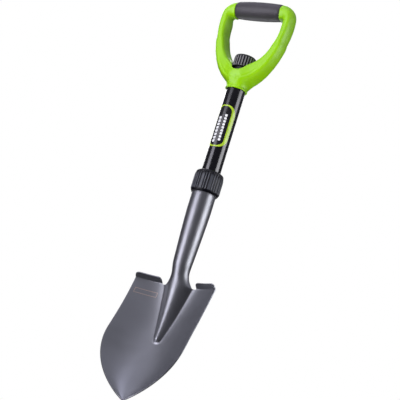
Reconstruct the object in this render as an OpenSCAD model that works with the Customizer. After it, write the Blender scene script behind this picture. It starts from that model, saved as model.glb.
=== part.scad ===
// Camp shovel: stamped round-point blade with a rolled socket, a handle tube held in the socket by a
// twist collar, and a D handle with a screw cap over the storage space in the tube.
// Millimetres. +Z runs up the shaft from the blade's tip, the dished front faces -Y, +X is the right.

/* [Blade] */
// Height of the shoulders above the tip
blade_length = 212; // [180:1:240]
// Half of the blade's width at its widest
blade_half_width = 76; // [60:1:90]
// Length of the pointed end below the parallel sides
point_length = 110; // [80:1:140]
// How far the sheet's middle line comes forward from shoulder to tip
blade_lift = 66; // [30:1:80]
// Depth of the dish at the widest place, as a share of the half width
dish_share = 0.47; // [0.2:0.01:0.6]
// Thickness of the stamped sheet
sheet = 2; // [1.2:0.1:3]
// Length of the pressed ridge below the shoulders
ridge_length = 106; // [60:1:140]
// Height of the ridge at the shoulders
ridge_height = 20; // [10:1:26]
// Half width of the ridge at the shoulders
ridge_half_width = 26; // [18:1:32]
// Width of each turned foot step, measured along its slope
step_width = 12.5; // [6:0.5:16]

/* [Socket and collar] */
// Height of the socket's mouth
socket_top = 372; // [350:1:400]
// Outside radius of the socket at its mouth
socket_radius = 20.2; // [18:0.1:24]
// Outside radius of the neck just above the blade
neck_radius = 15; // [12:0.1:18]
// Radius of the hole the guide bush sits in
socket_bore = 17.6; // [17:0.1:19]
// Height where the handle comes to rest in the socket
seat_height = 311; // [290:1:330]
// Outside radius of the collar nut
nut_radius = 24.7; // [22:0.1:28]
// Height of the collar nut
nut_height = 39; // [30:1:46]
// Number of grip pads round the collar nut
nut_pads = 12; // [6:1:18]

/* [Handle tube] */
// Outside radius of the handle tube
tube_radius = 16; // [14:0.5:18]
// Wall of the handle tube
tube_wall = 1.5; // [1:0.1:2.5]
// Height of the tube's top end
tube_top = 586; // [560:1:640]
// Radial play where the tube slides
slide_play = 0.05; // [0.01:0.01:0.1]
// Lower end of the label
label_low = 452; // [430:1:480]
// Upper end of the label
label_high = 530; // [490:1:550]

/* [D handle] */
// Height of the hand grip's centre line
grip_height = 709; // [680:1:740]
// Half of the length of the soft grip
grip_half = 43; // [35:1:55]
// Radius of the soft grip at its ends
grip_end_radius = 14.2; // [12:0.1:17]
// Radius of the soft grip in its middle
grip_mid_radius = 16.4; // [13:0.1:19]
// Half width of the D, to the middle of an arm
arm_half = 62; // [50:1:70]
// Drop from the widest place of the D to the bottom of its U
arm_drop = 98; // [80:1:120]
// Depth of an arm from front to back
arm_depth = 27; // [20:1:34]
// Thickness of an arm
arm_thick = 15.5; // [10:0.5:20]
// Radius of the ferrule's lower end
ferrule_radius = 18.8; // [17.5:0.1:22]
// Height of the ferrule's lower end
ferrule_low = 560; // [540:1:580]

/* [Storage cap] */
// Outside radius of the ribbed cap
cap_radius = 19; // [16:0.1:22]
// Height of the cap's lower rim
cap_low = 600; // [590:1:612]
// Height of the cap from rim to top
cap_height = 25; // [18:1:32]
// Number of ribs round the cap
cap_ribs = 36; // [12:1:48]

/* [Hidden] */
eps = 0.01;
shaft_y = 13.4;                      // the shaft stands behind the middle of the whole depth
cols = 18;                           // cells across each half of the sheet
rows = 46;                           // cells along the sheet
ridge_low = blade_length - ridge_length;
nut_low = socket_top - 1;
nut_top = nut_low + nut_height;
tube_bore = tube_radius - tube_wall;
arm_centre = grip_height - 19;
corner = 19;
cup_top = 594;                      // front lip of the crotch round the cap
screw_height = ferrule_low + 9;

// ---- the stamped sheet ----
function clampu(v) = min(1, max(0, v));
function half_w(z) = z < point_length
    ? max(1.2, blade_half_width * pow(1 - pow(1 - z / point_length, 2.15), 0.9))
    : blade_half_width + 1.5 * sin(180 * (z - point_length) / (blade_length - point_length + 8));
function mid_y(z) = let (w = 1 - z / blade_length)
    15 - blade_lift * (0.33 * w + 0.67 * w * w);
function dish(z) = half_w(z) * (dish_share
    - 0.20 * pow(clampu((z - 115) / 97), 1.2) - 0.09 * (1 - clampu(z / 100)));
function ridge_t(z) = clampu((z - ridge_low) / ridge_length);
function ridge_h(z) = ridge_height * pow(ridge_t(z), 1.1);
function ridge_w(z) = z < ridge_low + 0.1 ? 5 * half_w(z) / half_w(ridge_low)
    : 5 + (ridge_half_width - 5) * pow(ridge_t(z), 0.8);
function bump(t, z) = t >= 1 ? 0 : pow(1 - t * t, 1.35 - 0.5 * ridge_t(z));
function front_y(x, z) = mid_y(z) - dish(z) * pow(x / half_w(z), 2)
    - ridge_h(z) * bump(abs(x) / ridge_w(z), z);
function col_x(i, z) = let (s = abs(i) / cols, w = ridge_w(z), h = half_w(z))
    sign(i) * (s <= 0.5 ? w * s / 0.5 : w + (h - w) * (s - 0.5) / 0.5);
function row_z(j) = blade_length * (1 - pow(1 - j / rows, 1.25));

module grid_solid(front, back, nr, nc) {
    // nr rows of nc points each, front and back, closed into one skin
    n = nr * nc;
    pts = concat(front, back);
    f1 = [for (j = [0 : nr - 2]) for (i = [0 : nc - 2]) let (a = j * nc + i)
        each [[a, a + 1, a + nc + 1], [a, a + nc + 1, a + nc]]];
    f2 = [for (f = f1) [f[0] + n, f[2] + n, f[1] + n]];
    rim = concat([for (i = [0 : nc - 1]) i],
                 [for (j = [1 : nr - 1]) j * nc + nc - 1],
                 [for (i = [nc - 2 : -1 : 0]) (nr - 1) * nc + i],
                 [for (j = [nr - 2 : -1 : 1]) j * nc]);
    m = len(rim);
    f3 = [for (k = [0 : m - 1]) let (a = rim[k], b = rim[(k + 1) % m])
        each [[a, a + n, b + n], [a, b + n, b]]];
    polyhedron(points = pts, faces = [for (f = concat(f1, f2, f3)) [f[2], f[1], f[0]]]);
}

module sheet_skin() {
    nc = 2 * cols + 1;
    front = [for (j = [0 : rows]) let (z = row_z(j)) for (i = [-cols : cols])
        let (x = col_x(i, z)) [x, front_y(x, z), z]];
    back = [for (p = front) [p[0], p[1] + sheet, p[2]]];
    grid_solid(front, back, rows + 1, nc);
}

// ---- the rolled socket: rings of [height, half width, front, back] ----
function socket_r(z) = socket_radius
    - (socket_radius - neck_radius) * pow(clampu((socket_top - 27 - z) / 115), 1.3);
function ring(z, a, f, b, n) = [for (k = [0 : n - 1]) let (q = 360 * k / n)
    [a * sin(q), (f + b) / 2 - (b - f) / 2 * cos(q), z]];

module tube_loft(rings, n) {
    m = len(rings);
    pts = [for (r = rings) each r];
    side = [for (j = [0 : m - 2]) for (k = [0 : n - 1])
        let (a = j * n + k, b = j * n + (k + 1) % n)
        each [[a, b, b + n], [a, b + n, a + n]]];
    low = [for (k = [1 : n - 2]) [0, k + 1, k]];
    high = [for (k = [1 : n - 2]) [(m - 1) * n, (m - 1) * n + k, (m - 1) * n + k + 1]];
    polyhedron(points = pts, faces = [for (f = concat(low, side, high)) [f[2], f[1], f[0]]]);
}

module socket_skin() {
    n = 40;
    spread = [[197, 12, 7, 15.2], [204, 20, 0.5, 16], [210, 23.5, -4.6, 16.6],
              [216, 20.6, -7.4, 16.6], [224, 17.2, -11, 16]];
    outer = concat([for (s = spread) ring(s[0], s[1], s[2], s[3], n)],
        [for (z = [232 : 10 : socket_top]) let (r = socket_r(z)) ring(z, r, -r, r, n)]);
    inner = concat(
        [for (z = [socket_top : -16 : seat_height - 4]) ring(z, socket_bore, -socket_bore, socket_bore, n)],
        [ring(seat_height - 4, socket_bore, -socket_bore, socket_bore, n)],
        [for (z = [seat_height - 8 : -12 : 236])
            let (r = min(socket_bore, socket_r(z) - sheet)) ring(z, r, -r, r, n)]);
    tube_loft(concat(outer, inner), n);
}

module foot_step(side) {
    // the top edge of the sheet turned forward and up, with a rounded outer corner
    low_x = 33;
    high_x = half_w(blade_length);
    cuts = 6;
    slope = 56;
    for (k = [0 : cuts - 1]) {
        xa = low_x + (high_x - low_x) * k / cuts;
        xb = low_x + (high_x - low_x) * (k + 1) / cuts;
        wa = step_width * (k == 0 ? 0.9 : 1);
        wb = k == cuts - 1 ? step_width * 0.45 : step_width;
        hull() {
            step_slice(side * xa, wa, slope);
            step_slice(side * xb, wb, slope);
        }
    }
}

module step_slice(x, w, slope) {
    y = front_y(x, blade_length);
    translate([x, y + sheet / 2, blade_length - 0.6])
        rotate([slope, 0, 0])
            translate([-0.1, -sheet / 2, -0.4])
                cube([0.2, sheet, w + 0.4]);
}

module blade_head() {
    color([0.36, 0.37, 0.4])
    translate([0, shaft_y, 0])
    union() {
        sheet_skin();
        socket_skin();
        foot_step(1);
        foot_step(-1);
    }
}

// ---- inside the socket ----
module guide_bush() {
    color([0.12, 0.12, 0.13])
    translate([0, shaft_y, 0])
    difference() {
        translate([0, 0, seat_height - 3])
            cylinder(r = socket_bore - 0.1, h = socket_top - seat_height + 3, $fn = 96);
        translate([0, 0, seat_height])
            cylinder(r = tube_radius + slide_play, h = 200, $fn = 96);
        translate([0, 0, seat_height - 10])
            cylinder(r = 12, h = 20, $fn = 64);
    }
}

module threaded_sleeve() {
    // stands on the socket's mouth inside the collar nut; its thread is drawn as plain rings
    color([0.2, 0.2, 0.21])
    translate([0, shaft_y, 0])
    difference() {
        union() {
            translate([0, 0, socket_top])
                cylinder(r = 19.6, h = 24, $fn = 96);
            for (z = [socket_top + 4 : 3 : socket_top + 22])
                translate([0, 0, z])
                    cylinder(r1 = 19.6, r2 = 20.6, h = 1, $fn = 96);
        }
        translate([0, 0, socket_top - 1])
            cylinder(r = tube_radius + slide_play, h = 26, $fn = 96);
        // the mouth is coned to close the collet
        translate([0, 0, socket_top + 18])
            cylinder(r1 = tube_radius, r2 = 18.6, h = 6 + eps, $fn = 96);
    }
}

module clamp_collet() {
    color([0.75, 0.75, 0.72])
    translate([0, shaft_y, 0])
    difference() {
        union() {
            translate([0, 0, socket_top + 20.5])
                cylinder(r1 = 16.75, r2 = 18.05, h = 3.5, $fn = 96);
            translate([0, 0, socket_top + 24.1])
                cylinder(r = 19.4, h = 4.9, $fn = 96);
            translate([0, 0, socket_top + 23.9])
                cylinder(r = 18, h = 1, $fn = 96);
        }
        translate([0, 0, socket_top + 18])
            cylinder(r = tube_radius + slide_play, h = 14, $fn = 96);
        // one slit lets the ring close on the tube
        translate([-0.9, 0, socket_top + 18])
            cube([1.8, 30, 14]);
    }
}

module wiper_ring() {
    color([0.08, 0.08, 0.08])
    translate([0, shaft_y, 0])
    difference() {
        translate([0, 0, socket_top + 29])
            cylinder(r = 19, h = 3, $fn = 96);
        translate([0, 0, socket_top + 28])
            cylinder(r = tube_radius + slide_play, h = 6, $fn = 96);
    }
}

function pad_outline(r, n, duty, depth) = [for (k = [0 : n - 1]) each [
    for (q = [0, duty]) let (a = 360 * (k + q) / n) [r * cos(a), r * sin(a)],
    for (q = [duty + 0.06, 0.94]) let (a = 360 * (k + q) / n) [(r - depth) * cos(a), (r - depth) * sin(a)]]];

module collar_nut() {
    color([0.1, 0.1, 0.11])
    translate([0, shaft_y, 0])
    difference() {
        union() {
            // plain body with a coned lower rim and a rounded shoulder
            rotate_extrude($fn = 96)
                polygon([[15, nut_low], [nut_radius - 3.4, nut_low], [nut_radius - 0.8, nut_low + 5],
                         [nut_radius - 0.8, nut_top - 9], [nut_radius - 1.6, nut_top - 4.5],
                         [nut_radius - 3.6, nut_top - 1.4], [nut_radius - 6, nut_top], [15, nut_top]]);
            // broad pads with grooves between them
            translate([0, 0, nut_low + 6])
                linear_extrude(height = nut_height - 15)
                    polygon(pad_outline(nut_radius, nut_pads * 2, 0.55, 1.2));
        }
        // threaded bore, collet shoulder and wiper seat
        translate([0, 0, nut_low - 1])
            cylinder(r = socket_radius + 0.9, h = 27, $fn = 96);
        translate([0, 0, nut_low + 25.9])
            cylinder(r = 19.9, h = 4.5, $fn = 96);
        translate([0, 0, nut_low + 29])
            cylinder(r = 19.5, h = 4.3, $fn = 96);
        translate([0, 0, nut_low + 20])
            cylinder(r = tube_radius + 0.6, h = 40, $fn = 96);
    }
}

// ---- the handle ----
module handle_tube() {
    color([0.05, 0.05, 0.06])
    translate([0, shaft_y, 0])
    difference() {
        translate([0, 0, seat_height + 3])
            cylinder(r = tube_radius, h = tube_top - seat_height - 3, $fn = 96);
        translate([0, 0, seat_height])
            cylinder(r = tube_bore, h = tube_top, $fn = 96);
        // hole for the screw that holds the D handle
        translate([0, 0, screw_height])
            rotate([-90, 0, 0])
                cylinder(r = 2.2, h = 30, $fn = 32);
    }
}

module end_plug() {
    color([0.12, 0.12, 0.13])
    translate([0, shaft_y, 0])
    difference() {
        union() {
            translate([0, 0, seat_height + 0.1])
                cylinder(r = tube_radius - 0.1, h = 2.8, $fn = 96);
            translate([0, 0, seat_height + 0.1])
                cylinder(r = tube_bore - 0.05, h = 20, $fn = 96);
        }
        translate([0, 0, seat_height - 1])
            cylinder(r = tube_bore - 2, h = 16, $fn = 64);
    }
}

module tube_label() {
    color([0.08, 0.08, 0.09])
    translate([0, shaft_y, 0])
    difference() {
        translate([0, 0, label_low])
            cylinder(r = tube_radius + 0.25, h = label_high - label_low, $fn = 96);
        translate([0, 0, label_low - 1])
            cylinder(r = tube_radius + 0.02, h = label_high - label_low + 2, $fn = 96);
        translate([-30, -2.8, label_low - 1])
            cube([60, 30, label_high - label_low + 2]);
    }
}

// one half of the D's middle line, from the boss beside the grip to the bottom of the U
arc_cuts = 8;
arm_cuts = 15;
function arm_station(k) = k <= arc_cuts
    ? let (q = 90 * (1 - k / arc_cuts), t = k / arc_cuts)
      [grip_half + corner * cos(q), arm_centre + corner * sin(q), q,
       grip_end_radius - 0.1 + (arm_thick / 2 - grip_end_radius) * pow(t, 0.8),
       grip_end_radius - 0.1 + (arm_depth / 2 - grip_end_radius) * t, 2 + 1.0 * t]
    : let (t = (k - arc_cuts) / arm_cuts, q = 90 * t,
           x = arm_half * cos(q), z = arm_centre - arm_drop * sin(q),
           d = atan2(-arm_drop * cos(q), -arm_half * sin(q)) + 90)
      [x, z, d, arm_thick / 2 + 3.6 * t * t, arm_depth / 2 + 4.5 * pow(t, 3), 3.0];
function power_pt(c, s, n) = [sign(c) * pow(abs(c), 2 / n), sign(s) * pow(abs(s), 2 / n)];
function arm_ring(st, side, n) = [for (k = [0 : n - 1])
    let (q = 360 * k / n, p = power_pt(cos(q), sin(q), st[5]), a = st[3] * p[0])
    [side * (st[0] + a * cos(st[2])), st[4] * p[1], st[1] + a * sin(st[2])]];

module d_ring() {
    n = 24;
    total = arc_cuts + arm_cuts;
    right = [for (k = [0 : total]) arm_ring(arm_station(k), 1, n)];
    left = [for (k = [total - 1 : -1 : 0]) arm_ring(arm_station(k), -1, n)];
    tube_loft([for (r = concat(right, left)) [for (k = [0 : n - 1]) r[n - 1 - k]]], n);
}

module d_body() {
    union() {
        d_ring();
        // core bar under the soft grip
        translate([-grip_half - 2, 0, grip_height])
            rotate([0, 90, 0])
                cylinder(r = 10.5, h = 2 * grip_half + 4, $fn = 40);
        // ferrule and cup
        rotate_extrude($fn = 48)
            polygon([[15, ferrule_low], [ferrule_radius, ferrule_low], [ferrule_radius + 0.3, ferrule_low + 2],
                     [ferrule_radius - 0.6, ferrule_low + 5], [ferrule_radius - 0.3, ferrule_low + 14],
                     [ferrule_radius + 1.2, ferrule_low + 22], [20.8, cup_top - 5], [20.8, cup_top],
                     [15, cup_top]]);
        // webs that carry the arms down onto the ferrule
        for (s = [-1, 1], k = [0 : 3])
            hull() {
                web_knot(s, k);
                web_knot(s, k + 1);
            }
    }
}

// knots along the underside of each web, from the ferrule out to the arm
function web_x(k) = 11 + 7 * k;
function web_z(k) = ferrule_low + 13.5 + 4.6 * k + 0.55 * k * k;
module web_knot(s, k) {
    translate([s * web_x(k), 0, web_z(k)])
        scale([1, (17.8 - 0.75 * k) / 8, 1])
            sphere(r = 8, $fn = 20);
}

module d_handle() {
    color([0.52, 0.8, 0.1])
    translate([0, shaft_y, 0])
    difference() {
        d_body();
        // socket for the tube and the storage neck
        translate([0, 0, ferrule_low - 1])
            cylinder(r = tube_radius + 0.3, h = 60, $fn = 64);
        // room for the cap
        translate([0, 0, cup_top])
            cylinder(r = cap_radius + 1.2, h = 60, $fn = 64);
        // screw hole at the back
        translate([0, 0, screw_height])
            rotate([-90, 0, 0])
                cylinder(r = 2.2, h = 40, $fn = 32);
        translate([0, 18.6, screw_height])
            rotate([-90, 0, 0])
                cylinder(r = 4.4, h = 20, $fn = 32);
    }
}

module grip_sleeve() {
    color([0.29, 0.28, 0.31])
    translate([0, shaft_y, grip_height])
    rotate([0, 90, 0])
    difference() {
        rotate_extrude($fn = 72)
            polygon(concat([[8, -grip_half], [grip_end_radius - 1, -grip_half]],
                [for (k = [-6 : 6]) let (t = k / 6)
                    [grip_mid_radius - (grip_mid_radius - grip_end_radius) * t * t, (grip_half - 1) * t]],
                [[grip_end_radius - 1, grip_half], [8, grip_half]]));
        translate([0, 0, -grip_half - 1])
            cylinder(r = 10.6, h = 2 * grip_half + 2, $fn = 64);
    }
}

module handle_screw() {
    color([0.6, 0.6, 0.62])
    translate([0, shaft_y, screw_height])
    rotate([-90, 0, 0])
    difference() {
        union() {
            translate([0, 0, 12.5])
                cylinder(r = 2.0, h = 7, $fn = 32);
            translate([0, 0, 18.7])
                cylinder(r1 = 4.1, r2 = 3.4, h = 1.8, $fn = 48);
        }
        translate([0, 0, 19.6])
            cylinder(r = 1.6, h = 4, $fn = 6);
    }
}

// ---- storage ----
module storage_neck() {
    color([0.1, 0.1, 0.11])
    translate([0, shaft_y, 0])
    difference() {
        union() {
            translate([0, 0, tube_top - 12])
                cylinder(r = tube_bore - 0.05, h = 14, $fn = 96);
            translate([0, 0, tube_top + 0.05])
                cylinder(r = tube_radius + 0.2, h = cup_top + 2 - tube_top, $fn = 96);
            translate([0, 0, cup_top])
                cylinder(r = 14, h = 13, $fn = 96);
            for (z = [cup_top + 4 : 3 : cup_top + 10])
                translate([0, 0, z])
                    cylinder(r1 = 14, r2 = 15, h = 1, $fn = 96);
        }
        translate([0, 0, tube_top - 20])
            cylinder(r = 12.4, h = 60, $fn = 96);
    }
}

module storage_cap() {
    color([0.1, 0.1, 0.11])
    translate([0, shaft_y, cap_low])
    difference() {
        union() {
            rotate_extrude($fn = 96)
                polygon(concat([[0, 0], [cap_radius - 1, 0]],
                    [for (k = [0 : 6]) let (q = 15 * k)
                        [cap_radius - 4 + 3 * cos(q), cap_height - 3 - 1.2 + 3 * sin(q)]],
                    [[8, cap_height - 0.6], [0, cap_height]]));
            translate([0, 0, 0.8])
                linear_extrude(height = cap_height - 5.5)
                    polygon(pad_outline(cap_radius, cap_ribs, 0.45, 0.9));
        }
        // threaded cavity over the neck
        translate([0, 0, -1])
            cylinder(r = 15.4, h = 11.5, $fn = 96);
    }
}

module cap_seal() {
    color([0.55, 0.16, 0.1])
    translate([0, shaft_y, 0])
    difference() {
        translate([0, 0, cup_top + 13.1])
            cylinder(r = 14.6, h = 2.2, $fn = 96);
        translate([0, 0, cup_top + 12])
            cylinder(r = 6, h = 6, $fn = 64);
    }
}

blade_head();
guide_bush();
threaded_sleeve();
clamp_collet();
wiper_ring();
collar_nut();
handle_tube();
end_plug();
tube_label();
d_handle();
grip_sleeve();
handle_screw();
storage_neck();
storage_cap();
cap_seal();
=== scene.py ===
"""Camp shovel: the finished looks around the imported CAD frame.

Shapes are worked out in millimetres from the shaft's axis and turned into metres in make_piece().
"""
import math

import bmesh
import bpy
import numpy as np
from mathutils import Matrix, Vector


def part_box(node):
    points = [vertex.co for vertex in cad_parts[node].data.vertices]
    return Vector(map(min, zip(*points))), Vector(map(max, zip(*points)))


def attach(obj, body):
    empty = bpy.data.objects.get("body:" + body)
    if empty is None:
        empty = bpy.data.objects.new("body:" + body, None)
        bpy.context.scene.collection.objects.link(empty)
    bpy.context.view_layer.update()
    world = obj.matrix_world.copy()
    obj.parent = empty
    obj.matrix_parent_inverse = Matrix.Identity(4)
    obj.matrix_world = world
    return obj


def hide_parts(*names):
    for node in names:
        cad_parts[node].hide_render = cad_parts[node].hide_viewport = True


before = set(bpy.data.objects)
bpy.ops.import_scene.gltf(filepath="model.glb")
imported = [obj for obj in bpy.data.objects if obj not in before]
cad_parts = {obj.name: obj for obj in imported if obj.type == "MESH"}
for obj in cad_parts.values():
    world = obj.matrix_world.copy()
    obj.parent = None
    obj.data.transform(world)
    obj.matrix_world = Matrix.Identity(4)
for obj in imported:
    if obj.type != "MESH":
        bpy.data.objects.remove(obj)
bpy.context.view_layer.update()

MM = 0.001


def cad_box(node):
    """A CAD node's lowest and highest corner, in millimetres."""
    low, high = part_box(node)
    return low / MM, high / MM


# ---------------------------------------------------------------- sizes
tube_lo, tube_hi = cad_box("handle_tube")
nut_lo, nut_hi = cad_box("collar_nut")
label_lo, label_hi = cad_box("tube_label")
grip_lo, grip_hi = cad_box("grip_sleeve")
cap_lo, cap_hi = cad_box("storage_cap")
neck_lo, neck_hi = cad_box("storage_neck")

SHAFT_Y = (tube_lo.y + tube_hi.y) / 2
TUBE_R = (tube_hi.x - tube_lo.x) / 2
TUBE_LOW, TUBE_TOP = tube_lo.z, tube_hi.z
TUBE_WALL = 1.5
SOCKET_TOP = cad_box("blade_head")[1].z
NUT_R = (nut_hi.x - nut_lo.x) / 2
NUT_LOW, NUT_TOP = nut_lo.z, nut_hi.z
GRIP_HALF = grip_hi.x
GRIP_Z = (grip_lo.z + grip_hi.z) / 2
GRIP_MID_R = (grip_hi.z - grip_lo.z) / 2
GRIP_BARREL = 1.7       # how much the grip swells from its ends to its middle
GRIP_END_R = GRIP_MID_R - GRIP_BARREL
FERRULE_LOW = cad_box("d_handle")[0].z
CAP_R = (cap_hi.x - cap_lo.x) / 2
CAP_TRIM = 1.6          # how far the finished cap stays below the top of its CAD solid
CAP_LOW, CAP_TOP = cap_lo.z, cap_hi.z - CAP_TRIM
NECK_TOP = neck_hi.z

# the blade's driving sizes, close to those of the CAD source
BLADE_LENGTH = 212.0
BLADE_HALF = 76.0
BLADE_WAIST = 0.8       # how far the sides draw in between the point and the shoulders
POINT_LENGTH = 110.0
POINT_CURVE = 2.15      # the point's outline: fuller with a larger power
POINT_FULLNESS = 0.9    # and fuller with a smaller one
TIP_HALF = 1.2
BLADE_TOP_Y = 15.0      # the sheet's middle is this far behind the shaft's axis at the top
BLADE_LIFT = 66.0       # and this much further forward at the tip
LIFT_STRAIGHT = 0.33    # the share of that lift that is straight; the rest is curved
DISH_SHARE = 0.47       # depth of the dish over the half width, midway up
DISH_LOSS_TOP = 0.20    # the share is smaller at the top and at the tip
DISH_LOSS_TIP = 0.09
TIP_FLATNESS = 1.1      # the dish is a parabola, flatter across its middle towards the tip
SHEET = 2.0
RIDGE_LENGTH = 103.5
RIDGE_HEIGHT = 20.0
RIDGE_HALF = 26.0
RIDGE_NOSE = 4.6        # height of the ridge's blunt lower end
NOSE_HALF = 5           # and its half width
SKIRT = 2.6             # how far the sheet swells towards the ridge's foot
RIDGE_LOW = BLADE_LENGTH - RIDGE_LENGTH
STEP_WIDTH = 12.5
STEP_SLOPE = math.radians(56)
STEP_BEND = 2.6
STEP_OUTER = 9.5        # radius of a step's outer corner
STEP_INNER = 5.0
ETCHED_X, ETCHED_Z = -51.5, 191.0       # middle of the etched frame
ETCHED_HALF_WIDTH, ETCHED_HALF_HEIGHT = 17.5, 4.0
ETCHED_HALF_LINE = 0.45
SOCKET_R = 20.2
NECK_R = 15.0

# ribs of the collar nut and the cap
NUT_REPEATS, NUT_GROOVE = 10, 1.4
CAP_RIBS, CAP_GROOVE = 24, 1.1

# the D handle's driving sizes
ARM_HALF = 61.2
ARM_DROP = 98.0
ARM_CENTRE = GRIP_Z - 19
CORNER = 19.0
CORNER_POWER = 0.86     # 1 is a round corner, less is a squarer one
CORNER_SWELL = 1.2      # the corner is this much thicker than a straight taper
ARM_GROWTH = 3.6        # half thickness gained down an arm
ARM_THICK = 15.5
ARM_DEPTH = 27.0
CUP_TOP = FERRULE_LOW + 34
SCREW_Z = FERRULE_LOW + 9


# ---------------------------------------------------------------- mesh helpers
def clamp01(v):
    return min(1.0, max(0.0, v))


def ease(t):
    t = clamp01(t)
    return t * t * (3 - 2 * t)


def grid_faces(rows, cols, wrap_rows=False):
    """Quads of a grid of rows x cols points, each row a closed ring."""
    faces = []
    for j in range(rows if wrap_rows else rows - 1):
        for i in range(cols):
            i2, j2 = (i + 1) % cols, (j + 1) % rows
            faces.append((j * cols + i, j * cols + i2, j2 * cols + i2, j2 * cols + i))
    return faces


def make_piece(name, points, faces):
    """A new object from points in millimetres about the shaft's axis."""
    mesh = bpy.data.meshes.new(name)
    mesh.from_pydata([(x * MM, (y + SHAFT_Y) * MM, z * MM) for x, y, z in points], [], faces)
    mesh.update()
    piece = bpy.data.objects.new(name, mesh)
    bpy.context.scene.collection.objects.link(piece)
    return piece


def outward(piece):
    """Turns all faces of a closed mesh outwards."""
    bm = bmesh.new()
    bm.from_mesh(piece.data)
    bmesh.ops.recalc_face_normals(bm, faces=bm.faces)
    bm.to_mesh(piece.data)
    bm.free()


def apply_modifiers(piece):
    """Bakes the modifiers into the mesh."""
    bpy.context.view_layer.update()
    depsgraph = bpy.context.evaluated_depsgraph_get()
    mesh = bpy.data.meshes.new_from_object(piece.evaluated_get(depsgraph))
    mesh.name = piece.name
    piece.modifiers.clear()
    piece.data = mesh


def finish_piece(piece, body, material, replaces, sharp=32):
    """Bakes, shades and hands a piece to its body, in place of the CAD nodes it replaces."""
    apply_modifiers(piece)
    mesh = piece.data
    mesh.polygons.foreach_set("use_smooth", [True] * len(mesh.polygons))
    mesh.set_sharp_from_angle(angle=math.radians(sharp))
    mesh.materials.clear()
    mesh.materials.append(material)
    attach(piece, body)
    if replaces:
        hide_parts(*replaces)
    return piece


def bevel(piece, width, segments, angle):
    mod = piece.modifiers.new("edge", "BEVEL")
    mod.width = width * MM
    mod.segments = segments
    mod.limit_method = "ANGLE"
    mod.angle_limit = math.radians(angle)
    mod.use_clamp_overlap = True


def relax(piece, iterations, group=""):
    """Evens out the surface, all of it or where a vertex group says."""
    mod = piece.modifiers.new("relax", "SMOOTH")
    mod.factor = 0.5
    mod.iterations = iterations
    mod.vertex_group = group


def revolve(name, loop, segments, radius_at=None):
    """A closed loop of (radius, height) turned about the shaft; radius_at(r, z, angle) may shape it."""
    points = []
    for k in range(segments):
        q = 2 * math.pi * k / segments
        for r, z in loop:
            rr = radius_at(r, z, q) if radius_at else r
            points.append((rr * math.sin(q), -rr * math.cos(q), z))
    piece = make_piece(name, points, grid_faces(segments, len(loop), wrap_rows=True))
    outward(piece)
    return piece


def spread(a, b, n):
    """n points from a to b, b left out."""
    return [tuple(p + (q - p) * k / n for p, q in zip(a, b)) for k in range(n)]


def polyline(corners, steps):
    """A closed loop through the corners, each side cut into its number of steps."""
    points = []
    for k, n in enumerate(steps):
        points += spread(corners[k], corners[(k + 1) % len(corners)], n)
    return points


def arc(cx, cz, radius, start, end, n):
    """n + 1 points of an arc, angles in degrees."""
    return [(cx + radius * math.cos(math.radians(start + (end - start) * k / n)),
             cz + radius * math.sin(math.radians(start + (end - start) * k / n))) for k in range(n + 1)]


# ---------------------------------------------------------------- materials
class Nodes:
    """A small helper round one material's node tree."""

    def __init__(self, name):
        self.material = bpy.data.materials.new(name)
        self.material.use_nodes = True
        self.tree = self.material.node_tree
        self.shader = self.tree.nodes["Principled BSDF"]
        coords = self.tree.nodes.new("ShaderNodeTexCoord")
        self.coords = coords.outputs["Object"]

    def add(self, kind, inputs=None, **settings):
        node = self.tree.nodes.new(kind)
        for key, value in settings.items():
            setattr(node, key, value)
        for key, value in (inputs or {}).items():
            if isinstance(value, bpy.types.NodeSocket):
                self.tree.links.new(value, node.inputs[key])
            else:
                node.inputs[key].default_value = value
        return node

    def noise(self, scale, detail=3.0, rough=0.55, coords=None):
        return self.add("ShaderNodeTexNoise", {"Vector": coords or self.coords, "Scale": scale,
                                               "Detail": detail, "Roughness": rough}).outputs["Fac"]

    def stretched(self, x, y, z):
        """Object coordinates scaled by axis, for brushed or drawn grain."""
        return self.add("ShaderNodeMapping", {"Vector": self.coords, "Scale": (x, y, z)}).outputs["Vector"]

    def ramp(self, value, stops):
        node = self.add("ShaderNodeValToRGB", {"Fac": value})
        elements = node.color_ramp.elements
        while len(elements) < len(stops):
            elements.new(0.5)
        for element, (place, colour) in zip(elements, stops):
            element.position = place
            element.color = (*colour, 1)
        return node.outputs["Color"]

    def mix(self, factor, a, b):
        node = self.add("ShaderNodeMix", data_type="RGBA")
        for key, value in ((0, factor), (6, a), (7, b)):
            if isinstance(value, bpy.types.NodeSocket):
                self.tree.links.new(value, node.inputs[key])
            else:
                node.inputs[key].default_value = value if key == 0 else (*value, 1)
        return node.outputs[2]

    def multiply(self, factor, a, b):
        """Colour a darkened by colour b."""
        node = self.add("ShaderNodeMix", data_type="RGBA", blend_type="MULTIPLY")
        node.inputs[0].default_value = factor
        self.tree.links.new(a, node.inputs[6])
        self.tree.links.new(b, node.inputs[7])
        return node.outputs[2]

    def math(self, operation, a, b=0.0):
        return self.add("ShaderNodeMath", {0: a, 1: b}, operation=operation).outputs[0]

    def span(self, value, low, high):
        """Maps noise round its middle to low..high."""
        return self.add("ShaderNodeMapRange", {"Value": value, "From Min": 0.3, "From Max": 0.7,
                                               "To Min": low, "To Max": high}).outputs["Result"]

    def bump(self, height, strength, distance, normal=None):
        inputs = {"Height": height, "Strength": strength, "Distance": distance}
        if normal:
            inputs["Normal"] = normal
        return self.add("ShaderNodeBump", inputs).outputs["Normal"]

    def set(self, **values):
        """Shader sockets by name with _ for a space."""
        for key, value in values.items():
            socket = self.shader.inputs[key.replace("_", " ")]
            if isinstance(value, bpy.types.NodeSocket):
                self.tree.links.new(value, socket)
            else:
                socket.default_value = value
        return self.material


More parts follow.
